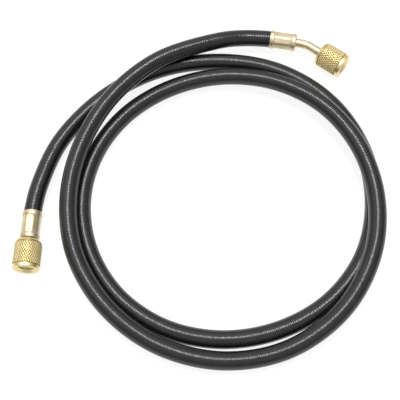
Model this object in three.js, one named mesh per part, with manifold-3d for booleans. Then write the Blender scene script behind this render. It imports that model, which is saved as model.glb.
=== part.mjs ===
// Refrigerant charging hose, in millimetres, +Z up.
// A rubber hose lies in a little over two loose turns on a level floor. One end carries a straight
// fitting, the other a bent-tube fitting; each has a crimped ferrule, a tubular stem, a knurled
// swivel nut and a soft seal, and the bent end also has a valve-core depressor.
import * as THREE from "three";
import Module from "manifold-3d";
import { mergeVertices } from "three/addons/utils/BufferGeometryUtils.js";

const wasm = await Module();
wasm.setup();

// Hose: 1/4 in bore, 12 mm over the cover.
const HOSE_RADIUS = 6.0;
const HOSE_BORE_RADIUS = 3.175;
const HOSE_SIDES = 12;
const BORE_SIDES = 8;
const BORE_MARGIN = 2.0;
const HOSE_STEPS = 78;
const CUFF_RADIUS = 4.7;
const CUFF_START = 1.2;
const CUFF_OVERLAP = 0.6;

// Route of the hose axis, as [radius, height] about the coil centre, one entry every
// 22.5 degrees counter-clockwise. The first entry is at 90 degrees.
const COIL_CENTRE = [13.6, -11.4];
const ROUTE_STEP = 22.5;
const ROUTE_START = 90.0;
const ROUTE = [
  [124.5, 14.0],
  [113.8, 18.7],
  [106.8, 18.3],
  [102.6, 17.1],
  [102.0, 16.2],
  [103.9, 14.9],
  [105.7, 13.2],
  [107.7, 10.6],
  [109.2, 8.0],
  [110.3, 9.0],
  [109.4, 14.7],
  [106.3, 18.2],
  [103.2, 18.8],
  [101.5, 17.6],
  [100.8, 14.9],
  [98.9, 12.0],
  [96.9, 8.8],
  [95.3, 6.6],
  [94.5, 6.0],
  [94.1, 6.0],
  [94.2, 6.0],
  [94.5, 6.0],
  [95.1, 6.0],
  [95.3, 6.0],
  [95.3, 6.0],
  [96.4, 6.0],
  [99.2, 6.0],
  [102.1, 6.0],
  [104.3, 6.0],
  [107.5, 6.0],
  [110.7, 6.0],
  [111.9, 6.0],
  [111.5, 6.0],
  [113.3, 6.0],
  [116.0, 6.0],
  [120.3, 7.6],
];

// Where the hose leaves each ferrule, and where each fitting points. A lead is the next point of
// the hose's axis, in the fitting's own frame: back along the fitting, to its left, and up.
const ANGLED_EXIT = [51.5, 117.7, 9.1];
const ANGLED_LEAD = [-19.3, -3.3, 1.35];
const ANGLED_HEADING = -9.7;
const ANGLED_BEND = 26.7;
const STRAIGHT_EXIT = [-113.0, -20.9, 9.1];
const STRAIGHT_LEAD = [-20.1, 2.3, -0.05];
const STRAIGHT_HEADING = -92.0;
const STRAIGHT_NOSE_UP = 0.0;

// Crimped ferrule: a rolled bead at each end and eight flats between them.
const FERRULE_LENGTH = 19.1;
const BEAD_RADIUS = 6.6;
const BEAD_LENGTH = 3.3;
const FLAT_APOTHEM = 5.95;
const FLAT_CORNER_RADIUS = 6.2;
const FLAT_COUNT = 8;
const ANGLED_FLAT_TURN = -10.0;
const STRAIGHT_FLAT_TURN = 4.0;
const BEAD_EDGE = 0.45;
const FERRULE_MOUTH_RADIUS = 6.28;
const FERRULE_MOUTH_DEPTH = 1.7;
const FERRULE_BORE_START = 2.6;
const FERRULE_BORE_RADIUS = 5.0;
const FERRULE_NECK_LENGTH = 2.5;
const NECK_START = FERRULE_LENGTH - FERRULE_NECK_LENGTH;
const CUFF_END = NECK_START - 1.0;

// Overlap of two shapes that are joined into one solid.
const JOIN = 0.2;

// Tubular stem: barbs in the hose, 1/4 in tube, and a nose flange that the nut pulls on.
const STEM_RADIUS = 3.175;
const CLEARANCE = 0.3;
const FERRULE_NECK_RADIUS = STEM_RADIUS + CLEARANCE;
const STEM_BORE_RADIUS = 1.6;
const BARB_RADIUS = 2.8;
const BARB_ROOT_RADIUS = 2.4;
const BARB_START = 3.4;
const BARB_COUNT = 3;
const BARB_BACK = 0.6;
const STEM_SHOULDER = CUFF_END + 0.6;
const BARB_PITCH = (STEM_SHOULDER - 1.4 - BARB_START) / BARB_COUNT;
const FLANGE_RADIUS = 4.6;
const FLANGE_START = 5.8;
const FLANGE_END = 7.6;
const BEND_RADIUS = 20.0;
const BEND_LEAD = 2.9;
const BEND_TAIL = 8.0;

// Swivel nut: 1/4 in flare, 7/16-20 thread. Distances run from the back face of the body.
const NUT_LENGTH = 20.0;
const NUT_RADIUS = 9.1;
const NUT_BACK_RADIUS = 7.6;
const NUT_BACK_CHAMFER = 1.8;
const NUT_BAND_RADIUS = 8.8;
const NUT_BAND_START = NUT_LENGTH - 2.5;
const NUT_BAND_STEP = 0.3;
const NUT_FACE_RADIUS = 8.3;
const NUT_FACE_CHAMFER = 0.6;
const NUT_BOSS_RADIUS = 4.3;
const NUT_BOSS_LENGTH = 0.8;
const NUT_GAP = NUT_BOSS_LENGTH + 0.5;
const THREAD_RADIUS = 5.0;
const THREAD_START = 5.5;
const MOUTH_RADIUS = 7.2;
const MOUTH_CHAMFER = 2.0;

// Seal and core depressor.
const SEAL_RADIUS = 4.6;
const SEAL_BORE_RADIUS = 2.1;
const SEAL_LENGTH = 2.2;
const SEAL_EDGE = 0.3;
const SPIDER_SPAN = 8.4;
const SPIDER_WIDTH = 1.5;
const SPIDER_THICKNESS = 0.6;
const PIN_RADIUS = 0.7;
const PIN_START = 6.4;
const PIN_END = 13.2;
const PIN_EDGE = 0.3;

const SEGMENTS = 24;

const rubber = new THREE.MeshStandardMaterial({ color: 0x2e2e2f, metalness: 0.0, roughness: 0.5 });
const sealRubber = new THREE.MeshStandardMaterial({ color: 0x1c1c1d, metalness: 0.0, roughness: 0.7 });
const ferruleBrass = new THREE.MeshStandardMaterial({ color: 0xd8c48a, metalness: 1.0, roughness: 0.3 });
const nutBrass = new THREE.MeshStandardMaterial({ color: 0xdcc46a, metalness: 1.0, roughness: 0.32 });
const stemBrass = new THREE.MeshStandardMaterial({ color: 0xd6c284, metalness: 1.0, roughness: 0.28 });

function turned(profile, segments = SEGMENTS) {
  // Profile points are [distance along +X, radius].
  const points = profile.map(([along, radius]) => new THREE.Vector2(radius, along));
  const geometry = new THREE.LatheGeometry(points, segments);
  geometry.rotateZ(-Math.PI / 2);
  return geometry;
}

function toSolid(geometry) {
  const bare = new THREE.BufferGeometry();
  bare.setAttribute("position", geometry.getAttribute("position").clone());
  if (geometry.index) {
    bare.setIndex(geometry.index.clone());
  }
  const merged = mergeVertices(bare, 1e-4);
  const index = merged.index.array;
  const kept = [];
  for (let i = 0; i < index.length; i += 3) {
    const [a, b, c] = [index[i], index[i + 1], index[i + 2]];
    if (a !== b && b !== c && c !== a) {
      kept.push(a, b, c);
    }
  }
  const mesh = new wasm.Mesh({
    numProp: 3,
    vertProperties: new Float32Array(merged.getAttribute("position").array),
    triVerts: new Uint32Array(kept),
  });
  mesh.merge();
  return new wasm.Manifold(mesh);
}

function toGeometry(solid) {
  const mesh = solid.getMesh();
  const geometry = new THREE.BufferGeometry();
  geometry.setAttribute("position", new THREE.BufferAttribute(new Float32Array(mesh.vertProperties), 3));
  geometry.setIndex(new THREE.BufferAttribute(new Uint32Array(mesh.triVerts), 1));
  const flat = geometry.toNonIndexed();
  flat.computeVertexNormals();
  return flat;
}

function disc(radius, sides) {
  const shape = new THREE.Shape();
  for (let i = 0; i < sides; i += 1) {
    const turn = (2 * Math.PI * (i + 0.5)) / sides;
    const x = radius * Math.cos(turn);
    const y = radius * Math.sin(turn);
    if (i === 0) {
      shape.moveTo(x, y);
    } else {
      shape.lineTo(x, y);
    }
  }
  shape.closePath();
  return shape;
}

function swept(curve, radius, sides, steps) {
  return new THREE.ExtrudeGeometry(disc(radius, sides), {
    steps,
    extrudePath: curve,
    bevelEnabled: false,
    curveSegments: sides,
  });
}

class PartOf extends THREE.Curve {
  // The stretch of another curve between two of its own parameters.
  constructor(whole, from, to) {
    super();
    this.whole = whole;
    this.from = from;
    this.to = to;
  }

  getPoint(t, target = new THREE.Vector3()) {
    return this.whole.getPointAt(this.from + (this.to - this.from) * t, target);
  }
}

class BentLine extends THREE.Curve {
  // A straight lead, an arc to the right in the XY plane, and a straight tail.
  constructor(start, lead, radius, bend, tail) {
    super();
    this.start = start;
    this.lead = lead;
    this.radius = radius;
    this.bend = bend;
    this.tail = tail;
  }

  getPoint(t, target = new THREE.Vector3()) {
    const arc = this.radius * this.bend;
    const s = t * (this.lead + arc + this.tail);
    if (s <= this.lead) {
      return target.set(this.start + s, 0, 0);
    }
    const turn = Math.min((s - this.lead) / this.radius, this.bend);
    const rest = Math.max(s - this.lead - arc, 0);
    const x = this.start + this.lead + this.radius * Math.sin(turn) + rest * Math.cos(turn);
    const y = -this.radius * (1 - Math.cos(turn)) - rest * Math.sin(turn);
    return target.set(x, y, 0);
  }
}

function named(name, geometry, material) {
  const mesh = new THREE.Mesh(geometry, material);
  mesh.name = name;
  return mesh;
}

function ferruleGeometry() {
  // A bead is a rounded band: edge, shoulder, crest, shoulder, edge.
  const bead = (from, outerEdge, innerEdge) => [
    [from, outerEdge],
    [from + BEAD_EDGE, BEAD_RADIUS],
    [from + BEAD_LENGTH - BEAD_EDGE, BEAD_RADIUS],
    [from + BEAD_LENGTH, innerEdge],
  ];
  const mouthBead = toSolid(
    turned([
      ...bead(0, FERRULE_MOUTH_RADIUS, FLAT_APOTHEM),
      [BEAD_LENGTH + JOIN, FLAT_APOTHEM],
      [BEAD_LENGTH + JOIN, FERRULE_BORE_RADIUS],
      [FERRULE_BORE_START, FERRULE_BORE_RADIUS],
      [FERRULE_MOUTH_DEPTH, FERRULE_MOUTH_RADIUS],
      [0, FERRULE_MOUTH_RADIUS],
    ]),
  );
  const farStart = FERRULE_LENGTH - BEAD_LENGTH;
  const farBead = toSolid(
    turned([
      [farStart - JOIN, FERRULE_BORE_RADIUS],
      [farStart - JOIN, FLAT_APOTHEM],
      ...bead(farStart, FLAT_APOTHEM, BEAD_RADIUS - BEAD_EDGE),
      [FERRULE_LENGTH, FERRULE_NECK_RADIUS],
      [NECK_START, FERRULE_NECK_RADIUS],
      [NECK_START, FERRULE_BORE_RADIUS],
      [farStart - JOIN, FERRULE_BORE_RADIUS],
    ]),
  );
  const section = new THREE.Shape();
  const half = Math.acos(FLAT_APOTHEM / FLAT_CORNER_RADIUS);
  for (let i = 0; i < FLAT_COUNT; i += 1) {
    for (const side of [-1, 1]) {
      const turn = (2 * Math.PI * i) / FLAT_COUNT + side * half;
      const x = FLAT_CORNER_RADIUS * Math.cos(turn);
      const y = FLAT_CORNER_RADIUS * Math.sin(turn);
      if (i === 0 && side === -1) {
        section.moveTo(x, y);
      } else {
        section.lineTo(x, y);
      }
    }
  }
  section.closePath();
  const hole = new THREE.Path();
  hole.absarc(0, 0, FERRULE_BORE_RADIUS, 0, 2 * Math.PI, true);
  section.holes.push(hole);
  const middle = new THREE.ExtrudeGeometry(section, {
    depth: farStart - BEAD_LENGTH + 2 * JOIN,
    bevelEnabled: false,
    curveSegments: SEGMENTS / 2,
  });
  middle.rotateY(Math.PI / 2);
  middle.translate(BEAD_LENGTH - JOIN, 0, 0);
  return toGeometry(mouthBead.add(toSolid(middle)).add(farBead));
}

function barbProfile() {
  const profile = [
    [BARB_START, STEM_BORE_RADIUS],
    [BARB_START, BARB_ROOT_RADIUS],
  ];
  for (let i = 0; i < BARB_COUNT; i += 1) {
    const from = BARB_START + i * BARB_PITCH;
    profile.push([from + BARB_PITCH - BARB_BACK, BARB_RADIUS]);
    profile.push([from + BARB_PITCH, BARB_ROOT_RADIUS]);
  }
  profile.push([STEM_SHOULDER, BARB_ROOT_RADIUS]);
  profile.push([STEM_SHOULDER, STEM_RADIUS]);
  return profile;
}

function straightStemGeometry(nutStart) {
  const profile = barbProfile();
  profile.push([nutStart + FLANGE_START, STEM_RADIUS]);
  profile.push([nutStart + FLANGE_START, FLANGE_RADIUS]);
  profile.push([nutStart + FLANGE_END, FLANGE_RADIUS]);
  profile.push([nutStart + FLANGE_END, STEM_BORE_RADIUS]);
  profile.push([BARB_START, STEM_BORE_RADIUS]);
  return turned(profile);
}

function angledStemGeometry(bend, nutFrame) {
  const barb = barbProfile();
  barb.push([FERRULE_LENGTH + 0.5, STEM_RADIUS]);
  barb.push([FERRULE_LENGTH + 0.5, STEM_BORE_RADIUS]);
  barb.push([BARB_START, STEM_BORE_RADIUS]);
  const bent = new BentLine(FERRULE_LENGTH, BEND_LEAD, BEND_RADIUS, bend, BEND_TAIL + FLANGE_START + 0.5);
  const tube = toSolid(swept(bent, STEM_RADIUS, 12, 14));
  const flangeLength = FLANGE_END - FLANGE_START;
  const flange = new THREE.CylinderGeometry(FLANGE_RADIUS, FLANGE_RADIUS, flangeLength, SEGMENTS);
  flange.rotateZ(-Math.PI / 2);
  flange.translate((FLANGE_START + FLANGE_END) / 2, 0, 0);
  flange.applyMatrix4(nutFrame);
  const boreRun = FERRULE_LENGTH - BARB_START;
  const bore = new BentLine(
    BARB_START - 1,
    boreRun + 1 + BEND_LEAD,
    BEND_RADIUS,
    bend,
    BEND_TAIL + FLANGE_END + 1,
  );
  const hollow = toSolid(swept(bore, STEM_BORE_RADIUS, BORE_SIDES, 20));
  const solidBarb = barb.slice();
  solidBarb[0] = [BARB_START, 0];
  solidBarb[solidBarb.length - 2] = [FERRULE_LENGTH + 0.5, 0];
  solidBarb.pop();
  return toGeometry(toSolid(turned(solidBarb)).add(tube).add(toSolid(flange)).subtract(hollow));
}

function nutGeometry() {
  return turned(
    [
      [-NUT_BOSS_LENGTH, STEM_RADIUS + CLEARANCE],
      [-NUT_BOSS_LENGTH, NUT_BOSS_RADIUS],
      [0, NUT_BOSS_RADIUS],
      [0, NUT_BACK_RADIUS],
      [NUT_BACK_CHAMFER, NUT_RADIUS],
      [NUT_BAND_START - NUT_BAND_STEP, NUT_RADIUS],
      [NUT_BAND_START, NUT_BAND_RADIUS],
      [NUT_LENGTH - NUT_FACE_CHAMFER, NUT_BAND_RADIUS],
      [NUT_LENGTH, NUT_FACE_RADIUS],
      [NUT_LENGTH, MOUTH_RADIUS],
      [NUT_LENGTH - MOUTH_CHAMFER, THREAD_RADIUS],
      [THREAD_START, THREAD_RADIUS],
      [THREAD_START, STEM_RADIUS + CLEARANCE],
      [-NUT_BOSS_LENGTH, STEM_RADIUS + CLEARANCE],
    ],
    30,
  );
}

function sealGeometry(from) {
  return turned([
    [from, SEAL_BORE_RADIUS],
    [from, SEAL_RADIUS - SEAL_EDGE],
    [from + SEAL_EDGE, SEAL_RADIUS],
    [from + SEAL_LENGTH - SEAL_EDGE, SEAL_RADIUS],
    [from + SEAL_LENGTH, SEAL_RADIUS - SEAL_EDGE],
    [from + SEAL_LENGTH, SEAL_BORE_RADIUS],
    [from, SEAL_BORE_RADIUS],
  ]);
}

function depressorGeometry(from) {
  const pin = toSolid(
    turned(
      [
        [PIN_START, 0],
        [PIN_START, PIN_RADIUS],
        [PIN_END - PIN_EDGE, PIN_RADIUS],
        [PIN_END, PIN_RADIUS - PIN_EDGE],
        [PIN_END, 0],
      ],
      12,
    ),
  );
  const middle = from + SPIDER_THICKNESS / 2;
  const upright = new THREE.BoxGeometry(SPIDER_THICKNESS, SPIDER_WIDTH, SPIDER_SPAN);
  upright.translate(middle, 0, 0);
  const level = new THREE.BoxGeometry(SPIDER_THICKNESS, SPIDER_SPAN, SPIDER_WIDTH);
  level.translate(middle, 0, 0);
  return toGeometry(pin.add(toSolid(upright)).add(toSolid(level)));
}

const rad = THREE.MathUtils.degToRad;
const group = new THREE.Group();
group.name = "charging_hose";

// Bent end.
const angledEnd = new THREE.Group();
angledEnd.position.set(...ANGLED_EXIT);
angledEnd.rotation.set(0, 0, rad(ANGLED_HEADING), "ZYX");
group.add(angledEnd);
const bend = rad(ANGLED_BEND);
const bentRoute = new BentLine(FERRULE_LENGTH, BEND_LEAD, BEND_RADIUS, bend, BEND_TAIL);
const angledNutFrame = new THREE.Group();
angledNutFrame.position.copy(bentRoute.getPoint(1));
angledNutFrame.rotation.set(0, 0, -bend, "ZYX");
angledNutFrame.updateMatrix();
angledEnd.add(angledNutFrame);
const angledFerrule = named("ferrule_angled", ferruleGeometry(), ferruleBrass.clone());
angledFerrule.rotation.x = rad(ANGLED_FLAT_TURN);
angledEnd.add(angledFerrule);
angledEnd.add(named("stem_angled", angledStemGeometry(bend, angledNutFrame.matrix), stemBrass.clone()));
angledNutFrame.add(named("nut_angled", nutGeometry(), nutBrass.clone()));
const spiderStart = FLANGE_END + CLEARANCE;
const angledSealStart = spiderStart + SPIDER_THICKNESS + CLEARANCE;
angledNutFrame.add(named("depressor", depressorGeometry(spiderStart), stemBrass.clone()));
angledNutFrame.add(named("seal_angled", sealGeometry(angledSealStart), sealRubber.clone()));

// Straight end.
const straightEnd = new THREE.Group();
straightEnd.position.set(...STRAIGHT_EXIT);
straightEnd.rotation.set(0, -rad(STRAIGHT_NOSE_UP), rad(STRAIGHT_HEADING), "ZYX");
group.add(straightEnd);
const straightNutStart = FERRULE_LENGTH + NUT_GAP;
const straightNutFrame = new THREE.Group();
straightNutFrame.position.set(straightNutStart, 0, 0);
straightEnd.add(straightNutFrame);
const straightFerrule = named("ferrule_straight", ferruleGeometry(), ferruleBrass.clone());
straightFerrule.rotation.x = rad(STRAIGHT_FLAT_TURN);
straightEnd.add(straightFerrule);
straightEnd.add(named("stem_straight", straightStemGeometry(straightNutStart), stemBrass.clone()));
straightNutFrame.add(named("nut_straight", nutGeometry(), nutBrass.clone()));
straightNutFrame.add(named("seal_straight", sealGeometry(FLANGE_END + CLEARANCE), sealRubber.clone()));

// Hose.
group.updateMatrixWorld(true);
const onAxis = (frame, along) => frame.localToWorld(new THREE.Vector3(along, 0, 0));
const routePoints = ROUTE.map(([radius, height], i) => {
  const turn = rad(ROUTE_START + i * ROUTE_STEP);
  return new THREE.Vector3(
    COIL_CENTRE[0] + radius * Math.cos(turn),
    COIL_CENTRE[1] + radius * Math.sin(turn),
    height,
  );
});
const axis = new THREE.CatmullRomCurve3(
  [
    onAxis(angledEnd, CUFF_END),
    onAxis(angledEnd, 0),
    angledEnd.localToWorld(new THREE.Vector3(...ANGLED_LEAD)),
    ...routePoints,
    straightEnd.localToWorld(new THREE.Vector3(...STRAIGHT_LEAD)),
    onAxis(straightEnd, 0),
    onAxis(straightEnd, CUFF_END),
  ],
  false,
  "centripetal",
);
axis.arcLengthDivisions = 4000;
const total = axis.getLength();
const coverFrom = (CUFF_END - CUFF_START) / total;
const cover = new PartOf(axis, coverFrom, 1 - coverFrom);
const cuffOverlap = coverFrom + CUFF_OVERLAP / total;
const cuffs = [new PartOf(axis, 0, cuffOverlap), new PartOf(axis, 1 - cuffOverlap, 1)];
const beyond = (frame, along) => {
  const length = 2 * BORE_MARGIN;
  const rod = new THREE.CylinderGeometry(HOSE_BORE_RADIUS, HOSE_BORE_RADIUS, length, BORE_SIDES * 2);
  rod.rotateZ(-Math.PI / 2);
  rod.translate(along, 0, 0);
  rod.applyMatrix4(frame.matrixWorld);
  return toSolid(rod);
};
let hose = toSolid(swept(cover, HOSE_RADIUS, HOSE_SIDES, HOSE_STEPS));
for (const cuff of cuffs) {
  hose = hose.add(toSolid(swept(cuff, CUFF_RADIUS, HOSE_SIDES * 2, 1)));
}
hose = hose.subtract(toSolid(swept(axis, HOSE_BORE_RADIUS, BORE_SIDES, HOSE_STEPS + 2)));
hose = hose.subtract(beyond(angledEnd, CUFF_END)).subtract(beyond(straightEnd, CUFF_END));
group.add(named("hose", toGeometry(hose), rubber.clone()));

export default group;
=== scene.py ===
"""A refrigerant charging hose with knurled brass swivel nuts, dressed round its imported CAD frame.

Every length is in metres, in the CAD model's own frame: +Z is up and the floor is at z = 0.
"""

import logging
import math
from dataclasses import dataclass
from enum import Enum

import bmesh
import bpy
from mathutils import Matrix, Vector


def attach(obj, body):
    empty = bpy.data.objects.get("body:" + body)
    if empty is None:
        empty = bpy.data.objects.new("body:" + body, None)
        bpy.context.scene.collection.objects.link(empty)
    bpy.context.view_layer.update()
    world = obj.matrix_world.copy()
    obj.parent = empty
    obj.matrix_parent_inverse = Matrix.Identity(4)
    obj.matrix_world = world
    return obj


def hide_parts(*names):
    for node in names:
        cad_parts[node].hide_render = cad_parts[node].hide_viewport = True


LOG = logging.getLogger("charging_hose")
MM = 0.001

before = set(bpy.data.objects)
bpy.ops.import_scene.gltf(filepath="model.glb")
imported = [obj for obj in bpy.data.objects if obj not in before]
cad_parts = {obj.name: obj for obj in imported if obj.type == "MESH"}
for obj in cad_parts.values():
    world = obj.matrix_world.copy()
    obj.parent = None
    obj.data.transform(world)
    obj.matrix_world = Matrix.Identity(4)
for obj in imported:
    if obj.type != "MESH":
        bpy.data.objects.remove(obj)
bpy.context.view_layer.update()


class Body(Enum):
    """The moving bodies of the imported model."""

    HOSE = "hose_assembly"
    SWIVEL_STRAIGHT = "swivel_straight"
    SWIVEL_ANGLED = "swivel_angled"


class Slot(Enum):
    """The record's material slots."""

    HOSE = "hose_rubber"
    FERRULE = "ferrule_brass"
    STEM = "stem_brass"
    NUT = "nut_brass"
    SEAL = "seal_rubber"


# Colours and nodes


def linear(hex_colour: str) -> tuple[float, float, float, float]:
    """Turn an sRGB hex colour into linear light.

    Args:
        hex_colour: Six hex digits, such as "d8c48a".

    Returns:
        The linear red, green and blue, and an alpha of 1.
    """
    parts = [int(hex_colour[i : i + 2], 16) / 255 for i in (0, 2, 4)]
    light = [c / 12.92 if c <= 0.04045 else ((c + 0.055) / 1.055) ** 2.4 for c in parts]
    return (light[0], light[1], light[2], 1.0)


class Shader:
    """A material under construction: its node tree and its principled shader."""

    def __init__(self, name: str) -> None:
        """Start a material.

        Args:
            name: What the material is.
        """
        self.material = bpy.data.materials.new(name)
        self.material.use_nodes = True
        self.tree = self.material.node_tree
        self.surface = self.tree.nodes["Principled BSDF"]

    def add(self, kind: str, settings: dict | None = None, inputs: dict | None = None) -> bpy.types.Node:
        """Add one node with its settings and its inputs.

        Args:
            kind: The node's type, such as "ShaderNodeTexNoise".
            settings: Attributes to set on the node.
            inputs: A value or an output socket for each named or numbered input.

        Returns:
            The new node.
        """
        node = self.tree.nodes.new(kind)
        for name, value in (settings or {}).items():
            setattr(node, name, value)
        for name, value in (inputs or {}).items():
            self.feed(node.inputs[name], value)
        return node

    def feed(self, socket: bpy.types.NodeSocket, value: object) -> None:
        """Link an output into a socket, or set the socket's own value.

        Args:
            socket: The input socket.
            value: An output socket, or a plain value.
        """
        if isinstance(value, bpy.types.NodeSocket):
            self.tree.links.new(value, socket)
        else:
            socket.default_value = value

    def ramp(self, factor: bpy.types.NodeSocket, stops: list[tuple[float, str]]) -> bpy.types.NodeSocket:
        """Turn a factor into a colour.

        Args:
            factor: The output that drives the ramp.
            stops: Positions and sRGB hex colours.

        Returns:
            The ramp's colour output.
        """
        node = self.add("ShaderNodeValToRGB", inputs={"Fac": factor})
        marks = node.color_ramp.elements
        while len(marks) < len(stops):
            marks.new(0.5)
        for mark, (place, colour) in zip(marks, stops):
            mark.position = place
            mark.color = linear(colour)
        return node.outputs["Color"]

    def dress(self, piece: bpy.types.Object, slot: Slot) -> None:
        """Give a piece this material.

        Args:
            piece: The object to dress.
            slot: Not used.
        """
        piece.data.materials.clear()
        piece.data.materials.append(self.material)


@dataclass(frozen=True)
class HoseRubber:
    """Extruded nitrile rubber cover with the cross ribs that the cloth wrap leaves in its cure."""

    name: str = "hose_rubber_black_wrapped"
    base: str = "131314"
    worn: str = "1c1c1d"
    roughness: float = 0.22
    rib_pitch: float = 1.25 * MM
    rib_depth: float = 0.05 * MM

    def build(self) -> Shader:
        """Make the material.

        Returns:
            The finished shader.
        """
        # Black rubber with a satin sheen, broken into fine cross ribs; the sheen is what the eye reads.
        shader = Shader(self.name)
        place = shader.add("ShaderNodeUVMap", {"uv_map": "along_and_round"}).outputs["UV"]
        split = shader.add("ShaderNodeSeparateXYZ", inputs={"Vector": place})
        solid = shader.add("ShaderNodeTexCoord").outputs["Object"]
        # The wrap's turns are not even, so a noise of 4 mm grain shifts each rib by part of its pitch.
        drift = shader.add(
            "ShaderNodeTexNoise",
            inputs={"Vector": solid, "Scale": 1 / (4 * MM), "Detail": 2.0},
        )
        shift = shader.add(
            "ShaderNodeMath",
            {"operation": "MULTIPLY_ADD"},
            {0: drift.outputs["Fac"], 1: 0.9 * self.rib_pitch, 2: split.outputs["X"]},
        )
        turn = shader.add(
            "ShaderNodeMath",
            {"operation": "MULTIPLY"},
            {0: shift.outputs[0], 1: 2 * math.pi / self.rib_pitch},
        )
        wave = shader.add("ShaderNodeMath", {"operation": "SINE"}, {0: turn.outputs[0]})
        grain = shader.add(
            "ShaderNodeTexNoise",
            inputs={"Vector": solid, "Scale": 1 / (0.5 * MM), "Detail": 3.0},
        )
        height = shader.add(
            "ShaderNodeMath",
            {"operation": "MULTIPLY_ADD"},
            {0: grain.outputs["Fac"], 1: 0.35, 2: wave.outputs[0]},
        )
        bump = shader.add(
            "ShaderNodeBump",
            inputs={"Strength": 0.75, "Distance": self.rib_depth, "Height": height.outputs[0]},
        )
        dust = shader.add(
            "ShaderNodeTexNoise",
            inputs={"Vector": solid, "Scale": 1 / (9 * MM), "Detail": 4.0},
        )
        colour = shader.ramp(dust.outputs["Fac"], [(0.35, self.base), (0.72, self.worn)])
        rough = shader.add(
            "ShaderNodeMapRange",
            inputs={
                "Value": grain.outputs["Fac"],
                "To Min": self.roughness - 0.05,
                "To Max": self.roughness + 0.07,
            },
        )
        shader.feed(shader.surface.inputs["Base Color"], colour)
        shader.feed(shader.surface.inputs["Roughness"], rough.outputs["Result"])
        shader.feed(shader.surface.inputs["Normal"], bump.outputs["Normal"])
        shader.surface.inputs["IOR"].default_value = 1.52
        shader.surface.inputs["Specular IOR Level"].default_value = 0.52
        return shader


@dataclass(frozen=True)
class Brass:
    """Machined brass, lacquered or plain, with turning marks and handling stains."""

    name: str
    base: str
    dull: str
    roughness: float
    mark_size: float = 0.35 * MM
    mark_depth: float = 0.012 * MM
    stain_size: float = 5.0 * MM
    # Colour of the knurl's groove bottoms: oxide, and painted shade of the recesses.
    groove: str = ""

    def build(self) -> Shader:
        """Make the material.

        Returns:
            The finished shader.
        """
        # A bright metal with soft-edged reflections; faint stains keep large faces from looking even.
        shader = Shader(self.name)
        solid = shader.add("ShaderNodeTexCoord").outputs["Object"]
        stain = shader.add(
            "ShaderNodeTexNoise",
            inputs={"Vector": solid, "Scale": 1 / self.stain_size, "Detail": 5.0, "Roughness": 0.6},
        )
        marks = shader.add(
            "ShaderNodeTexNoise",
            inputs={"Vector": solid, "Scale": 1 / self.mark_size, "Detail": 3.0},
        )
        colour = shader.ramp(stain.outputs["Fac"], [(0.32, self.dull), (0.62, self.base)])
        if self.groove:
            colour = self.darken_grooves_oxide_and_shade(shader, colour)
        rough = shader.add(
            "ShaderNodeMapRange",
            inputs={
                "Value": marks.outputs["Fac"],
                "To Min": self.roughness - 0.06,
                "To Max": self.roughness + 0.08,
            },
        )
        bump = shader.add(
            "ShaderNodeBump",
            inputs={"Strength": 0.6, "Distance": self.mark_depth, "Height": marks.outputs["Fac"]},
        )
        shader.surface.inputs["Metallic"].default_value = 1.0
        shader.feed(shader.surface.inputs["Base Color"], colour)
        shader.feed(shader.surface.inputs["Roughness"], rough.outputs["Result"])
        shader.feed(shader.surface.inputs["Normal"], bump.outputs["Normal"])
        return shader

    def darken_grooves_oxide_and_shade(self, shader: Shader, colour: bpy.types.NodeSocket) -> bpy.types.NodeSocket:
        """Darken the bottoms of the knurl's grooves: partly oxide that no polishing reaches, partly
        painted shade in the recesses.

        Args:
            shader: The material under construction.
            colour: The plain metal's colour.

        Returns:
            The colour with its grooves darkened.
        """
        depth = shader.add("ShaderNodeAttribute", {"attribute_name": "groove"})
        share = shader.add(
            "ShaderNodeMapRange",
            inputs={"Value": depth.outputs["Fac"], "From Min": 0.30, "From Max": 0.90},
        )
        # Mix towards the groove colour with depth: oxide plus painted shade in the grooves.
        mix = shader.add(
            "ShaderNodeMix",
            {"data_type": "RGBA"},
            {0: share.outputs["Result"], 6: colour, 7: linear(self.groove)},
        )
        return mix.outputs[2]


@dataclass(frozen=True)
class SealRubber:
    """Moulded neoprene of the flare seal."""

    name: str = "seal_neoprene_black"
    base: str = "19191a"
    bloom: str = "2b2b2c"

    def build(self) -> Shader:
        """Make the material.

        Returns:
            The finished shader.
        """
        # Dead matt black with a faint grey bloom, so the seal reads as a dark ring deep in the nut.
        shader = Shader(self.name)
        solid = shader.add("ShaderNodeTexCoord").outputs["Object"]
        bloom = shader.add(
            "ShaderNodeTexNoise",
            inputs={"Vector": solid, "Scale": 1 / (1.2 * MM), "Detail": 3.0},
        )
        bump = shader.add(
            "ShaderNodeBump",
            inputs={"Strength": 0.5, "Distance": 0.03 * MM, "Height": bloom.outputs["Fac"]},
        )
        colour = shader.ramp(bloom.outputs["Fac"], [(0.3, self.base), (0.8, self.bloom)])
        shader.feed(shader.surface.inputs["Base Color"], colour)
        shader.feed(shader.surface.inputs["Normal"], bump.outputs["Normal"])
        shader.surface.inputs["Roughness"].default_value = 0.68
        return shader


@dataclass(frozen=True)
class LightTable:
    """The matt white top of a light table under the hose."""

    name: str = "floor_light_table"
    base: str = "707070"
    glow: float = 0.88

    def build(self) -> Shader:
        """Make the material.

        Returns:
            The finished shader.
        """
        # A light table's matt white: nearly all its light comes from below, so contact shadows stay faint.
        shader = Shader(self.name)
        shader.surface.inputs["Base Color"].default_value = linear(self.base)
        shader.surface.inputs["Roughness"].default_value = 0.9
        shader.surface.inputs["Specular IOR Level"].default_value = 0.2
        shader.surface.inputs["Emission Color"].default_value = linear("ffffff")
        shader.surface.inputs["Emission Strength"].default_value = self.glow
        return shader


# Mesh helpers


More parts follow.
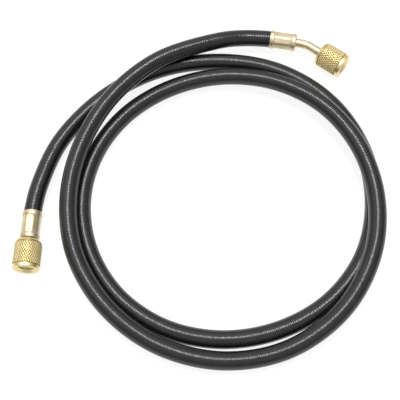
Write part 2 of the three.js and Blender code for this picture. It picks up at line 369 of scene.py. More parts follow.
@dataclass(frozen=True)
class Pose:
    """A place and a direction: +X of the pose runs along a fitting, towards its mouth."""

    origin: Vector
    heading: float
    nose_up: float = 0.0

    def matrix(self) -> Matrix:
        """Return the pose as a 4x4 matrix."""
        turn = Matrix.Rotation(math.radians(self.heading), 4, "Z")
        tilt = Matrix.Rotation(-math.radians(self.nose_up), 4, "Y")
        return Matrix.Translation(self.origin) @ turn @ tilt

    def point(self, along: float, left: float = 0.0, up: float = 0.0) -> Vector:
        """Return the world place of a point given in the pose's own axes."""
        return self.matrix() @ Vector((along, left, up))


def closed_loop(mesh: bmesh.types.BMesh, profile: list[tuple[float, float]]) -> list:
    """Draw a closed half section beside the X axis.

    Args:
        mesh: The bmesh to draw in.
        profile: Points as distance along X and radius, in millimetres.

    Returns:
        The vertices and edges of the section.
    """
    corners = [mesh.verts.new((x * MM, 0.0, r * MM)) for x, r in profile]
    edges = [mesh.edges.new((a, b)) for a, b in zip(corners, corners[1:] + corners[:1])]
    return corners + edges


def turn_section(mesh: bmesh.types.BMesh, section: list, steps: int) -> None:
    """Spin a section once round the X axis and close it.

    Args:
        mesh: The bmesh that holds the section.
        section: Its vertices and edges.
        steps: How many steps the turn has.
    """
    bmesh.ops.spin(
        mesh,
        geom=section,
        cent=(0.0, 0.0, 0.0),
        axis=(1.0, 0.0, 0.0),
        angle=2 * math.pi,
        steps=steps,
        use_merge=True,
    )
    bmesh.ops.remove_doubles(mesh, verts=mesh.verts, dist=1e-7)
    bmesh.ops.recalc_face_normals(mesh, faces=mesh.faces)


def rounded(
    profile: list[tuple[float, float]],
    radius: float,
    steps: int = 3,
) -> list[tuple[float, float]]:
    """Round the corners of a closed section.

    Args:
        profile: Corners as distance along X and radius.
        radius: How far from each corner the rounding starts, at most a third of its sides.
        steps: How many points a rounding has beyond its first.

    Returns:
        The section with its corners rounded.
    """
    corners = [Vector(p) for p in profile]
    made = []
    for i, corner in enumerate(corners):
        before = corners[i - 1] - corner
        after = corners[(i + 1) % len(corners)] - corner
        start = corner + before.normalized() * min(radius, before.length / 3)
        end = corner + after.normalized() * min(radius, after.length / 3)
        for k in range(steps + 1):
            t = k / steps
            point = start * (1 - t) ** 2 + corner * 2 * t * (1 - t) + end * t * t
            made.append((point.x, point.y))
    return made


def finish_piece(
    name: str,
    mesh: bmesh.types.BMesh,
    place: Matrix,
    smooth: bool = True,
) -> bpy.types.Object:
    """Turn a bmesh into an object at the origin, with its place in its mesh.

    Args:
        name: The piece's name.
        mesh: The bmesh, which is freed.
        place: Where the piece goes.
        smooth: Whether its faces are smooth between sharp edges.

    Returns:
        The new object.
    """
    mesh.transform(place)
    data = bpy.data.meshes.new(name)
    mesh.to_mesh(data)
    mesh.free()
    piece = bpy.data.objects.new(name, data)
    bpy.context.scene.collection.objects.link(piece)
    if smooth:
        data.shade_smooth()
        data.set_sharp_from_angle(angle=math.radians(34))
    else:
        data.shade_flat()
    return piece


def put(piece: bpy.types.Object, body: Body, *nodes: str) -> bpy.types.Object:
    """Let a piece ride on its body and stand for its CAD nodes.

    Args:
        piece: The piece.
        body: The body it moves with.
        nodes: The CAD nodes it replaces.

    Returns:
        The same piece.
    """
    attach(piece, body.value)
    if nodes:
        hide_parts(*nodes)
    faces = len(piece.data.polygons)
    LOG.info("piece %s: %d faces, rides on %s", piece.name, faces, body.value)
    return piece


# Fittings


@dataclass
class Ferrule:
    """A crimped ferrule: a rolled bead at each end and eight flats between them."""

    name: str
    pose: Pose
    flat_turn: float
    length: float = 19.1
    bead_radius: float = 6.6
    bead_rise: float = 0.62
    bead_length: float = 3.3
    flat_apothem: float = 5.95
    corner_radius: float = 6.2
    mouth_radius: float = 6.28
    mouth_depth: float = 1.7
    bore_radius: float = 5.0
    bore_start: float = 2.6
    neck_radius: float = 3.475
    neck_start: float = 16.6
    flats: int = 8
    steps: int = 128

    def build(self) -> bpy.types.Object:
        """Spin the beads and the bore, then press the flats into the middle.

        Returns:
            The ferrule's object.
        """
        far = self.length - self.bead_length
        outline = [(self.mouth_depth, self.mouth_radius), (0.0, self.mouth_radius + 0.02)]
        outline += self.bead(0.0)
        outline += [(x, self.corner_radius) for x in (self.bead_length + 0.5, 6.6, 9.5, 12.4, far - 0.5)]
        outline += self.bead(far)
        outline += [
            (self.length, self.neck_radius + 0.25),
            (self.length - 0.25, self.neck_radius),
            (self.neck_start, self.neck_radius),
            (self.neck_start, self.bore_radius),
            (self.bore_start, self.bore_radius),
        ]
        mesh = bmesh.new()
        turn_section(mesh, closed_loop(mesh, outline), self.steps)
        for vertex in mesh.verts:
            self.press(vertex.co)
        turn = Matrix.Rotation(math.radians(self.flat_turn), 4, "X")
        return finish_piece(self.name, mesh, self.pose.matrix() @ turn)

    def bead(self, start: float) -> list[tuple[float, float]]:
        """Return the outline of a rolled bead, round in section.

        Args:
            start: Where the bead starts along the ferrule, in millimetres.

        Returns:
            Its points, from its back to its front.
        """
        middle = start + self.bead_length / 2
        low = self.bead_radius - self.bead_rise
        points = []
        for k in range(13):
            turn = math.pi * k / 12
            along = middle - math.cos(turn) * self.bead_length / 2
            points.append((along, low + self.bead_rise * math.sin(turn) ** 0.7))
        return points

    def press(self, place: Vector) -> None:
        """Pull a point of the outer wall in to the nearest flat.

        Args:
            place: The point, changed in place.
        """
        along = place.x / MM
        radius = math.hypot(place.y, place.z) / MM
        inside = self.bead_length + 0.2 < along < self.length - self.bead_length - 0.2
        if not inside or radius < self.corner_radius - 0.1:
            return
        turn = math.atan2(place.y, place.z)
        step = 2 * math.pi / self.flats
        off = turn - round(turn / step) * step
        flat = min(self.flat_apothem / math.cos(off), self.corner_radius)
        place.y *= flat / radius
        place.z *= flat / radius


@dataclass
class StraightStem:
    """A tubular stem with barbs in the hose and a nose flange behind the seal."""

    name: str
    pose: Pose
    nut_start: float = 20.4
    radius: float = 3.175
    bore_radius: float = 1.6
    barb_radius: float = 2.8
    barb_root: float = 2.4
    barb_start: float = 3.4
    barb_pitch: float = 3.8
    barbs: int = 3
    shoulder: float = 16.2
    flange_radius: float = 4.6
    flange_start: float = 5.8
    flange_end: float = 7.6
    steps: int = 64

    def barb_outline(self) -> list[tuple[float, float]]:
        """Return the outline of the barbs, from the hose end to the shoulder."""
        points = [(self.barb_start, self.bore_radius), (self.barb_start, self.barb_root)]
        for i in range(self.barbs):
            start = self.barb_start + i * self.barb_pitch
            points.append((start + self.barb_pitch - 0.6, self.barb_radius))
            points.append((start + self.barb_pitch, self.barb_root))
        points.append((self.shoulder, self.barb_root))
        points.append((self.shoulder, self.radius))
        return points

    def build(self) -> bpy.types.Object:
        """Spin the stem in one turn.

        Returns:
            The stem's object.
        """
        outline = self.barb_outline()
        outline += [
            (self.nut_start + self.flange_start, self.radius),
            (self.nut_start + self.flange_start, self.flange_radius - 0.2),
            (self.nut_start + self.flange_start + 0.2, self.flange_radius),
            (self.nut_start + self.flange_end - 0.3, self.flange_radius),
            (self.nut_start + self.flange_end, self.flange_radius - 0.3),
            (self.nut_start + self.flange_end, self.bore_radius),
        ]
        mesh = bmesh.new()
        turn_section(mesh, closed_loop(mesh, outline), self.steps)
        return finish_piece(self.name, mesh, self.pose.matrix())


@dataclass
class BentStem(StraightStem):
    """The stem of the bent end: the same barbs, and a tube bent between ferrule and nut."""

    ferrule_length: float = 19.1
    lead: float = 2.9
    bend_radius: float = 20.0
    bend: float = 26.7
    tail: float = 8.0
    bend_steps: int = 16

    def build(self) -> bpy.types.Object:
        """Spin the barbs, sweep the tube round its bend and spin the flange.

        Returns:
            The stem's object.
        """
        mesh = bmesh.new()
        outline = self.barb_outline()
        straight_end = self.ferrule_length + self.lead
        outline += [(straight_end, self.radius), (straight_end, self.bore_radius)]
        turn_section(mesh, closed_loop(mesh, outline), self.steps)
        self.open_end(mesh, straight_end)
        rim = [e for e in mesh.edges if e.is_boundary]
        centre = Vector((straight_end * MM, -self.bend_radius * MM, 0.0))
        made = bmesh.ops.spin(
            mesh,
            geom=list({v for e in rim for v in e.verts}) + rim,
            cent=centre,
            axis=(0.0, 0.0, 1.0),
            angle=-math.radians(self.bend),
            steps=self.bend_steps,
        )
        front = [g for g in made["geom_last"] if isinstance(g, bmesh.types.BMEdge)]
        aim = Vector((math.cos(math.radians(self.bend)), -math.sin(math.radians(self.bend)), 0.0))
        pushed = bmesh.ops.extrude_edge_only(mesh, edges=front)
        tips = [g for g in pushed["geom"] if isinstance(g, bmesh.types.BMVert)]
        bmesh.ops.translate(mesh, verts=tips, vec=aim * (self.tail + self.flange_start) * MM)
        self.flange(mesh)
        bmesh.ops.remove_doubles(mesh, verts=mesh.verts, dist=1e-7)
        bmesh.ops.recalc_face_normals(mesh, faces=mesh.faces)
        return finish_piece(self.name, mesh, self.pose.matrix())

    def open_end(self, mesh: bmesh.types.BMesh, at: float) -> None:
        """Take away the ring face that closes the tube where its bend starts.

        Args:
            mesh: The stem's bmesh.
            at: Where the ring is along the stem, in millimetres.
        """
        ring = [f for f in mesh.faces if all(abs(v.co.x - at * MM) < 1e-7 for v in f.verts)]
        bmesh.ops.delete(mesh, geom=ring, context="FACES_ONLY")

    def flange(self, mesh: bmesh.types.BMesh) -> None:
        """Add the nose flange at the tube's front end.

        Args:
            mesh: The stem's bmesh.
        """
        outline = [
            (self.flange_start, self.bore_radius),
            (self.flange_start, self.flange_radius - 0.2),
            (self.flange_start + 0.2, self.flange_radius),
            (self.flange_end - 0.3, self.flange_radius),
            (self.flange_end, self.flange_radius - 0.3),
            (self.flange_end, self.bore_radius),
        ]
        nose = bmesh.new()
        turn_section(nose, closed_loop(nose, outline), self.steps)
        nose.transform(nut_place(self))
        carrier = bpy.data.meshes.new("flange_carrier")
        nose.to_mesh(carrier)
        nose.free()
        mesh.from_mesh(carrier)
        bpy.data.meshes.remove(carrier)


def nut_place(stem: BentStem) -> Matrix:
    """Return the nut's frame in the frame of the bent fitting."""
    bend = math.radians(stem.bend)
    x = stem.ferrule_length + stem.lead + stem.bend_radius * math.sin(bend) + stem.tail * math.cos(bend)
    y = -stem.bend_radius * (1 - math.cos(bend)) - stem.tail * math.sin(bend)
    return Matrix.Translation((x * MM, y * MM, 0.0)) @ Matrix.Rotation(-bend, 4, "Z")


@dataclass
class SwivelNut:
    """A knurled 1/4 in flare swivel nut with a 7/16-20 thread."""

    name: str
    place: Matrix
    length: float = 20.0
    radius: float = 9.1
    back_radius: float = 7.6
    back_chamfer: float = 1.8
    band_radius: float = 8.8
    band_start: float = 17.5
    face_radius: float = 8.3
    face_chamfer: float = 0.6
    boss_radius: float = 4.3
    boss_length: float = 0.8
    hole_radius: float = 3.475
    thread_start: float = 5.5
    thread_root: float = 5.5
    mouth_radius: float = 7.2
    mouth_chamfer: float = 2.0
    knurl_step: float = 0.68
    knurl_depth: float = 0.36
    knurl_shoulder: float = 0.84
    knurl_columns: int = 136

    def build(self) -> bpy.types.Object:
        """Spin the nut and raise the diamonds of its knurl.

        Returns:
            The nut's object.
        """
        start = self.back_chamfer + 0.15
        end = self.band_start - 0.25
        rows = round((end - start) / self.knurl_step)
        valley = self.radius - self.knurl_depth
        outline = [
            (-self.boss_length, self.hole_radius),
            (-self.boss_length, self.boss_radius - 0.3),
            (-self.boss_length + 0.3, self.boss_radius),
            (0.0, self.boss_radius),
            (0.0, self.back_radius),
            (self.back_chamfer * 0.5, (self.back_radius + valley) / 2 + 0.12),
        ]
        outline += [(start + (end - start) * k / rows, valley) for k in range(rows + 1)]
        outline += [
            (self.band_start - 0.1, self.band_radius - 0.3),
            (self.band_start, self.band_radius - 0.08),
            (self.band_start + 0.1, self.band_radius),
            (self.length - self.face_chamfer, self.band_radius),
            (self.length - self.face_chamfer * 0.35, self.band_radius - 0.16),
            (self.length - 0.04, self.face_radius + 0.1),
            (self.length, self.face_radius - 0.1),
            (self.length, self.mouth_radius + 0.15),
            (self.length - 0.12, self.mouth_radius - 0.05),
            (self.length - self.mouth_chamfer, self.thread_root),
            (self.thread_start, self.thread_root),
            (self.thread_start, self.hole_radius),
        ]
        mesh = bmesh.new()
        turn_section(mesh, closed_loop(mesh, outline), self.knurl_columns)
        facets = self.raise_diamonds(mesh, start, end, rows, valley)
        piece = finish_piece(self.name, mesh, self.place)
        for face, sharp in zip(piece.data.polygons, facets):
            face.use_smooth = not sharp
        return piece

    def raise_diamonds(
        self,
        mesh: bmesh.types.BMesh,
        start: float,
        end: float,
        rows: int,
        valley: float,
    ) -> list[bool]:
        """Raise flat-topped diamonds between two crossing families of grooves.

        Every fourth diagonal of the grid is a groove. A crossing of the grid lies in a groove, on a
        diamond's shoulder or at its middle.

        Args:
            mesh: The nut's bmesh.
            start: Where the knurl starts, in millimetres.
            end: Where it ends.
            rows: How many steps of the grid it has.
            valley: The radius at the bottom of its grooves.

        Returns:
            For each face of the finished bmesh, whether it belongs to the knurl.
        """
        step = (end - start) / rows
        # Each knurl vertex keeps its depth; the nut material darkens with it, partly oxide, partly painted
        # shade.
        groove = mesh.verts.layers.float.new("groove")
        grid = {}
        for vertex in mesh.verts:
            radius = math.hypot(vertex.co.y, vertex.co.z) / MM
            row = (vertex.co.x / MM - start) / step
            if abs(radius - valley) < 0.01 and -0.1 < row < rows + 0.1:
                turn = math.atan2(vertex.co.y, vertex.co.z) / (2 * math.pi)
                column = round(turn * self.knurl_columns) % self.knurl_columns
                grid[vertex] = (round(row), column)
        height = {}
        for vertex, (row, column) in grid.items():
            away = min(abs((row + column) % 4 - 2), abs((row - column) % 4 - 2))
            if row in (0, rows):
                away = 0
            height[vertex] = (0.0, self.knurl_shoulder, 1.0)[away]
            lift = 1 + height[vertex] * (self.radius - valley) / valley
            vertex.co.y *= lift
            vertex.co.z *= lift
            vertex[groove] = 1.0 - height[vertex]
        cuts = []
        for face in [f for f in mesh.faces if all(v in grid for v in f.verts)]:
            even = [v for v in face.verts if sum(grid[v]) % 2 == 0]
            odd = [v for v in face.verts if sum(grid[v]) % 2 == 1]
            peaked = any(height[v] == 1.0 for v in even)
            cuts.append((face, odd if peaked else even))
        for face, fold in cuts:
            bmesh.utils.face_split(face, fold[0], fold[1])
        LOG.info("%s: %d knurl cells folded", self.name, len(cuts))
        mesh.faces.ensure_lookup_table()
        return [all(v in grid for v in face.verts) for face in mesh.faces]


@dataclass
class NutThread:
    """The ridge of the 7/16-20 internal thread, as a helix in the nut's bore."""

    name: str
    place: Matrix
    root: float = 5.52
    crest: float = 4.98
    pitch: float = 1.27
    start: float = 7.0
    end: float = 17.4
    steps: int = 40

    def build(self) -> bpy.types.Object:
        """Screw the ridge's section along the bore.

        Returns:
            The thread's object.
        """
        half = self.pitch * 0.44
        tip = self.pitch * 0.08
        mesh = bmesh.new()
        section = [
            mesh.verts.new(((self.start - half) * MM, 0.0, self.root * MM)),
            mesh.verts.new(((self.start - tip) * MM, 0.0, self.crest * MM)),
            mesh.verts.new(((self.start + tip) * MM, 0.0, self.crest * MM)),
            mesh.verts.new(((self.start + half) * MM, 0.0, self.root * MM)),
        ]
        edges = [mesh.edges.new((a, b)) for a, b in zip(section, section[1:] + section[:1])]
        turns = (self.end - self.start) / self.pitch
        steps = round(turns * self.steps)
        made = bmesh.ops.spin(
            mesh,
            geom=section + edges,
            cent=(0.0, 0.0, 0.0),
            axis=(1.0, 0.0, 0.0),
            dvec=((self.end - self.start) / steps * MM, 0.0, 0.0),
            angle=2 * math.pi * turns,
            steps=steps,
        )
        last = [g for g in made["geom_last"] if isinstance(g, bmesh.types.BMEdge)]
        bmesh.ops.contextual_create(mesh, geom=edges)
        bmesh.ops.contextual_create(mesh, geom=last)
        bmesh.ops.recalc_face_normals(mesh, faces=mesh.faces)
        return finish_piece(self.name, mesh, self.place)


@dataclass
class FlareSeal:
    """A moulded rubber ring with rounded edges."""

    name: str
    place: Matrix
    start: float
    radius: float = 4.6
    bore_radius: float = 2.1
    length: float = 2.2
    steps: int = 64

    def build(self) -> bpy.types.Object:
        """Spin the ring.

        Returns:
            The seal's object.
        """
        corners = [
            (self.start, self.bore_radius),
            (self.start, self.radius),
            (self.start + self.length, self.radius),
            (self.start + self.length, self.bore_radius),
        ]
        mesh = bmesh.new()
        turn_section(mesh, closed_loop(mesh, rounded(corners, 0.4)), self.steps)
        return finish_piece(self.name, mesh, self.place)


@dataclass
class Depressor:
    """A core depressor: a round pin on a four-armed spider."""

    name: str
    place: Matrix
    span: float = 8.4
    width: float = 1.5
    thickness: float = 0.6
    start: float = 7.9
    pin_radius: float = 0.7
    pin_start: float = 6.4
    pin_end: float = 13.2

    def build(self) -> bpy.types.Object:
        """Bevel the spider's arms and spin the pin.

        Returns:
            The depressor's object.
        """
        mesh = bmesh.new()
        for turn in (0.0, math.pi / 2):
            made = bmesh.ops.create_cube(mesh, size=1.0)
            shape = Matrix.Diagonal((self.thickness * MM, self.width * MM, self.span * MM, 1.0))
            place = Matrix.Translation(((self.start + self.thickness / 2) * MM, 0.0, 0.0))
            bmesh.ops.transform(
                mesh,
                matrix=place @ Matrix.Rotation(turn, 4, "X") @ shape,
                verts=made["verts"],
            )
        bmesh.ops.bevel(
            mesh,
            geom=list(mesh.edges),
            offset=0.12 * MM,
            offset_type="OFFSET",
            segments=2,
            profile=0.5,
            affect="EDGES",
            material=-1,
        )
        pin = bmesh.new()
        points = [
            (self.pin_start, 0.0),
            (self.pin_start, self.pin_radius),
            (self.pin_end - 0.35, self.pin_radius),
            (self.pin_end - 0.1, self.pin_radius - 0.12),
            (self.pin_end, self.pin_radius - 0.4),
            (self.pin_end, 0.0),
        ]
        corners = [pin.verts.new((x * MM, 0.0, r * MM)) for x, r in points]
        edges = [pin.edges.new((a, b)) for a, b in zip(corners, corners[1:])]
        turn_section(pin, corners + edges, 32)
        carrier = bpy.data.meshes.new("pin_carrier")
        pin.to_mesh(carrier)
        pin.free()
        mesh.from_mesh(carrier)
        bpy.data.meshes.remove(carrier)
        return finish_piece(self.name, mesh, self.place)


# Hose


@dataclass
class Hose:
    """The rubber hose, in a little over two loose turns, from one ferrule to the other."""

    name: str
    angled: Pose
    straight: Pose
    radius: float = 6.0
    cuff_radius: float = 4.7
    cuff_end: float = 15.6
    cuff_start: float = 1.2
    length: float = 1.5274
    sides: int = 40
    step: float = 3.2
    cuff_taper: float = 1.6
    angled_lead: tuple[float, float, float] = (-19.3, -3.3, 1.35)
    straight_lead: tuple[float, float, float] = (-20.1, 2.3, -0.05)
    centre: tuple[float, float] = (13.6, -11.4)
    route_start: float = 90.0
    route_step: float = 22.5

    @staticmethod
    def route() -> list[tuple[float, float]]:
        """Return the hose axis as radius and height about the coil centre, in millimetres."""
        return [
            (124.5, 14.0), (113.8, 18.7), (106.8, 18.3), (102.6, 17.1), (102.0, 16.2), (103.9, 14.9),
            (105.7, 13.2), (107.7, 10.6), (109.2, 8.0), (110.3, 9.0), (109.4, 14.7), (106.3, 18.2),
            (103.2, 18.8), (101.5, 17.6), (100.8, 14.9), (98.9, 12.0), (96.9, 8.8), (95.3, 6.6),
            (94.5, 6.0), (94.1, 6.0), (94.2, 6.0), (94.5, 6.0), (95.1, 6.0), (95.3, 6.0),
            (95.3, 6.0), (96.4, 6.0), (99.2, 6.0), (102.1, 6.0), (104.3, 6.0), (107.5, 6.0),
            (110.7, 6.0), (111.9, 6.0), (111.5, 6.0), (113.3, 6.0), (116.0, 6.0), (120.3, 7.6),
        ]

    def knots(self) -> list[Vector]:
        """Return the points that the hose axis passes through."""
        points = [
            self.angled.point(self.cuff_end * MM),
            self.angled.point(0.0),
            self.angled.point(*(c * MM for c in self.angled_lead)),
        ]
        for i, (radius, height) in enumerate(self.route()):
            turn = math.radians(self.route_start + i * self.route_step)
            x = self.centre[0] + radius * math.cos(turn)
            y = self.centre[1] + radius * math.sin(turn)
            points.append(Vector((x, y, height)) * MM)
        points += [
            self.straight.point(*(c * MM for c in self.straight_lead)),
            self.straight.point(0.0),
            self.straight.point(self.cuff_end * MM),
        ]
        return points

    def axis(self, samples: int = 24) -> list[Vector]:
        """Return a centripetal Catmull-Rom line through the knots.

        Args:
            samples: How many points each stretch between two knots has.

        Returns:
            The dense line.
        """
        knots = self.knots()
        ends = [2 * knots[0] - knots[1]] + knots + [2 * knots[-1] - knots[-2]]
        line = []
        for p0, p1, p2, p3 in zip(ends, ends[1:], ends[2:], ends[3:]):
            d0, d1, d2 = ((a - b).length ** 0.5 for a, b in ((p1, p0), (p2, p1), (p3, p2)))
            t1 = ((p1 - p0) / d0 - (p2 - p0) / (d0 + d1) + (p2 - p1) / d1) * d1
            t2 = ((p2 - p1) / d1 - (p3 - p1) / (d1 + d2) + (p3 - p2) / d2) * d1
            for k in range(samples):
                t = k / samples
                square = (-3 * p1 + 3 * p2 - 2 * t1 - t2) * t * t
                line.append(p1 + t1 * t + square + (2 * p1 - 2 * p2 + t1 + t2) * t**3)
        line.append(knots[-1])
        return line

    def evenly(self) -> list[tuple[float, Vector]]:
        """Return stations along the axis, as distance from its start and place."""
        line = self.axis()
        run = [0.0]
        for a, b in zip(line, line[1:]):
            run.append(run[-1] + (b - a).length)
        count = round(run[-1] / (self.step * MM))
        stations = []
        k = 0
        for i in range(count + 1):
            want = run[-1] * i / count
            while k < len(run) - 2 and run[k + 1] < want:
                k += 1
            share = (want - run[k]) / (run[k + 1] - run[k])
            stations.append((want, line[k].lerp(line[k + 1], min(share, 1.0))))
        return stations

    def width(self, at: float, total: float) -> float:
        """Return the hose's radius at a distance along its axis, pinched inside the ferrules."""
        inner = (self.cuff_end - self.cuff_start) * MM
        from_end = min(at, total - at)
        taper = self.cuff_taper * MM
        if from_end <= inner - taper:
            return self.cuff_radius * MM
        share = min((from_end - inner + taper) / taper, 1.0)
        blend = share * share * (3 - 2 * share)
        return (self.cuff_radius + (self.radius - self.cuff_radius) * blend) * MM

    def build(self) -> tuple[bpy.types.Object, list[Vector]]:
        """Extrude a ring along the axis and map its surface.

        Returns:
            The hose's object, and the centres of its rings.
        """
        stations = self.evenly()
        total = stations[-1][0]
        mesh = bmesh.new()
        aim = (stations[1][1] - stations[0][1]).normalized()
        side = aim.cross(Vector((0.0, 0.0, 1.0))).normalized()
        ring = self.first_ring(mesh, stations[0][1], aim, side)
        shade = mesh.loops.layers.uv.new("along_and_round")
        loops = [ring]
        for i in range(1, len(stations)):
            loops.append(self.next_ring(mesh, loops[-1], stations, i, total))
        bmesh.ops.contextual_create(mesh, geom=loops[-1])
        bmesh.ops.contextual_create(mesh, geom=loops[0])
        self.map_surface(mesh, shade, loops, stations)
        bmesh.ops.recalc_face_normals(mesh, faces=mesh.faces)
        piece = finish_piece(self.name, mesh, Matrix.Identity(4))
        return piece, [place for _, place in stations]

    def first_ring(
        self, mesh: bmesh.types.BMesh, place: Vector, aim: Vector, side: Vector
    ) -> list[bmesh.types.BMEdge]:
        """Draw the ring at the hose's start.

        Args:
            mesh: The hose's bmesh.
            place: The ring's centre.
            aim: The hose's direction there.
            side: A level direction across the hose.

        Returns:
            The ring's edges.
        """
        made = bmesh.ops.create_circle(
            mesh,
            cap_ends=False,
            radius=self.cuff_radius * MM,
            segments=self.sides,
        )
        up = side.cross(aim)
        turn = Matrix((side, up, -aim)).transposed().to_4x4()
        bmesh.ops.transform(mesh, matrix=Matrix.Translation(place) @ turn, verts=made["verts"])
        return list(mesh.edges)

    def next_ring(
        self,
        mesh: bmesh.types.BMesh,
        ring: list[bmesh.types.BMEdge],
        stations: list[tuple[float, Vector]],
        i: int,
        total: float,
    ) -> list[bmesh.types.BMEdge]:
        """Extrude the last ring to the next station, turned to the axis there.

        Args:
            mesh: The hose's bmesh.
            ring: The last ring's edges.
            stations: The stations along the axis.
            i: The next station's number.
            total: The axis's whole length.

        Returns:
            The new ring's edges.
        """
        pushed = bmesh.ops.extrude_edge_only(mesh, edges=ring)
        new = [g for g in pushed["geom"] if isinstance(g, bmesh.types.BMEdge)]
        tips = [g for g in pushed["geom"] if isinstance(g, bmesh.types.BMVert)]
        new = [e for e in new if e.verts[0] in tips and e.verts[1] in tips]
        last = stations[i - 1][1]
        here = stations[i][1]
        before = self.tangent(stations, i - 1)
        after = self.tangent(stations, i)
        grow = self.width(stations[i][0], total) / self.width(stations[i - 1][0], total)
        turn = before.rotation_difference(after).to_matrix().to_4x4()
        scale = Matrix.Diagonal((grow, grow, grow, 1.0))
        move = Matrix.Translation(here) @ turn @ scale @ Matrix.Translation(-last)
        bmesh.ops.transform(mesh, matrix=move, verts=tips)
        return new

    @staticmethod
    def tangent(stations: list[tuple[float, Vector]], i: int) -> Vector:
        """Return the axis's direction at a station."""
        after = stations[min(i + 1, len(stations) - 1)][1]
        before = stations[max(i - 1, 0)][1]
        return (after - before).normalized()

    def map_surface(
        self,
        mesh: bmesh.types.BMesh,
        layer: bmesh.types.BMLayerItem,
        loops: list[list[bmesh.types.BMEdge]],
        stations: list[tuple[float, Vector]],
    ) -> None:
        """Write each face corner's distance along the hose, in metres, as its U.

        V only tells the corners of a face apart.

        Args:
            mesh: The hose's bmesh.
            layer: The UV layer.
            loops: The rings' edges, in order.
            stations: The stations that the rings stand at.
        """
        along = {}
        for ring, (at, _) in zip(loops, stations):
            for edge in ring:
                for vertex in edge.verts:
                    along[vertex] = at
        for face in mesh.faces:
            for k, corner in enumerate(face.loops):
                corner[layer].uv = (along[corner.vert], self.radius * MM * k)


# Scene


@dataclass
class Stage:
    """Floor, lights and camera."""

    target: tuple[float, float, float] = (-0.4, -10.4, 6.0)
    elevation: float = 67.0
    distance: float = 545.45
    lens: float = 72.0

    def camera(self) -> None:
        """Put the camera at the photograph's viewing angle."""
        data = bpy.data.cameras.new("camera")
        data.lens = self.lens
        data.sensor_width = 36.0
        data.clip_start = 0.01
        data.clip_end = 20.0
        camera = bpy.data.objects.new("camera", data)
        rise = math.radians(self.elevation)
        back = Vector((0.0, -math.cos(rise), math.sin(rise)))
        camera.location = (Vector(self.target) + back * self.distance) * MM
        camera.rotation_euler = (math.radians(90 - self.elevation), 0.0, 0.0)
        bpy.context.scene.collection.objects.link(camera)
        bpy.context.scene.camera = camera

    def floor(self) -> None:
        """Lay a wide pale floor under the hose."""
        mesh = bmesh.new()
        bmesh.ops.create_grid(mesh, x_segments=1, y_segments=1, size=3.0)
        floor = finish_piece("floor", mesh, Matrix.Translation((0.0, 0.0, -0.0001)))
        floor.data.materials.append(LightTable().build().material)

    def lamp(self, name: str, place: tuple[float, float, float], size: float, power: float) -> None:
        """Hang one square soft box that faces the coil.

        Args:
            name: The lamp's name.
            place: Where it hangs, in metres.
            size: Its side, in metres.
            power: Its strength, in watts.
        """
        data = bpy.data.lights.new(name, "AREA")
        data.shape = "SQUARE"
        data.size = size
        data.energy = power
        lamp = bpy.data.objects.new(name, data)
        lamp.location = place
        lamp.rotation_euler = (Vector(place)).to_track_quat("Z", "Y").to_euler()
        bpy.context.scene.collection.objects.link(lamp)

    def build(self) -> None:
        """Light the scene as a product table: pale all round, soft boxes behind and overhead."""
        world = bpy.data.worlds.new("white_studio")
        world.use_nodes = True
        back = world.node_tree.nodes["Background"]
        back.inputs["Color"].default_value = linear("ffffff")
        back.inputs["Strength"].default_value = 0.42
        bpy.context.scene.world = world
        bpy.context.scene.view_settings.view_transform = "Standard"
        self.floor()
        self.lamp("back_panel", (-0.35, 0.65, 1.0), 2.20, 7.6)
        self.lamp("ceiling_panel", (0.0, -0.15, 1.2), 2.80, 7.6)
        self.lamp("key_overhead", (-0.05, 0.30, 2.5), 0.60, 37.0)


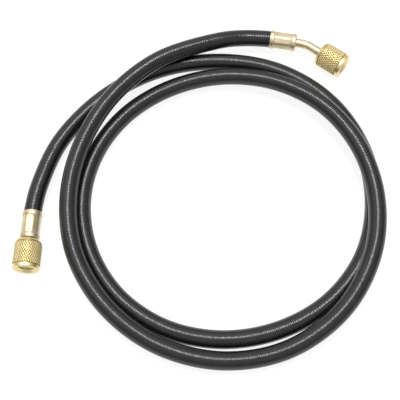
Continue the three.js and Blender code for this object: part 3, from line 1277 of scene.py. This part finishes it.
def main() -> None:
    """Build the camera, the hose and both fittings, and light them."""
    logging.basicConfig(level=logging.INFO, format="%(name)s: %(message)s")
    stage = Stage()
    stage.camera()

    angled = Pose(Vector((51.5, 117.7, 9.1)) * MM, -9.7)
    straight = Pose(Vector((-113.0, -20.9, 9.1)) * MM, -92.0)
    rubber = HoseRubber().build()
    # The nut's groove colour darkens the knurl's hollows: oxide and painted shade.
    nut_brass = Brass("nut_brass_machined", "f6e6b4", "ead6a0", 0.41, groove="a8935a").build()
    ferrule_brass = Brass("ferrule_brass_pressed", "e6d8b8", "d2c29e", 0.44).build()
    stem_brass = Brass("stem_brass_drawn", "e6d6b0", "ccbb94", 0.42).build()
    seal_rubber = SealRubber().build()

    hose_maker = Hose("hose_cover", angled, straight)
    hose, path = hose_maker.build()
    put(hose, Body.HOSE, "hose")
    rubber.dress(hose, Slot.HOSE)

    ferrules = [
        (Ferrule("ferrule_angled_crimped", angled, -10.0), "ferrule_angled"),
        (Ferrule("ferrule_straight_crimped", straight, 4.0), "ferrule_straight"),
    ]
    made = {}
    for maker, node in ferrules:
        made[node] = put(maker.build(), Body.HOSE, node)
        ferrule_brass.dress(made[node], Slot.FERRULE)

    bent = BentStem("stem_angled_tube", angled)
    plain = StraightStem("stem_straight_tube", straight)
    for maker, node in ((bent, "stem_angled"), (plain, "stem_straight")):
        made[node] = put(maker.build(), Body.HOSE, node)
        stem_brass.dress(made[node], Slot.STEM)

    angled_nut = angled.matrix() @ nut_place(bent)
    straight_nut = straight.matrix() @ Matrix.Translation((plain.nut_start * MM, 0.0, 0.0))
    nuts = [
        (SwivelNut("nut_angled_knurled", angled_nut), Body.SWIVEL_ANGLED, "nut_angled"),
        (SwivelNut("nut_straight_knurled", straight_nut), Body.SWIVEL_STRAIGHT, "nut_straight"),
    ]
    for maker, body, node in nuts:
        made[node] = put(maker.build(), body, node)
        nut_brass.dress(made[node], Slot.NUT)
        thread = put(NutThread(node + "_thread", maker.place).build(), body)
        made[node + "_thread"] = thread
        nut_brass.dress(thread, Slot.NUT)

    seals = [
        (FlareSeal("seal_angled_ring", angled_nut, 8.8), "seal_angled"),
        (FlareSeal("seal_straight_ring", straight_nut, 7.9), "seal_straight"),
    ]
    for maker, node in seals:
        made[node] = put(maker.build(), Body.HOSE, node)
        seal_rubber.dress(made[node], Slot.SEAL)
    made["depressor"] = put(Depressor("depressor_pin", angled_nut).build(), Body.HOSE, "depressor")
    stem_brass.dress(made["depressor"], Slot.STEM)

    stage.build()


if __name__ == "__main__":
    main()
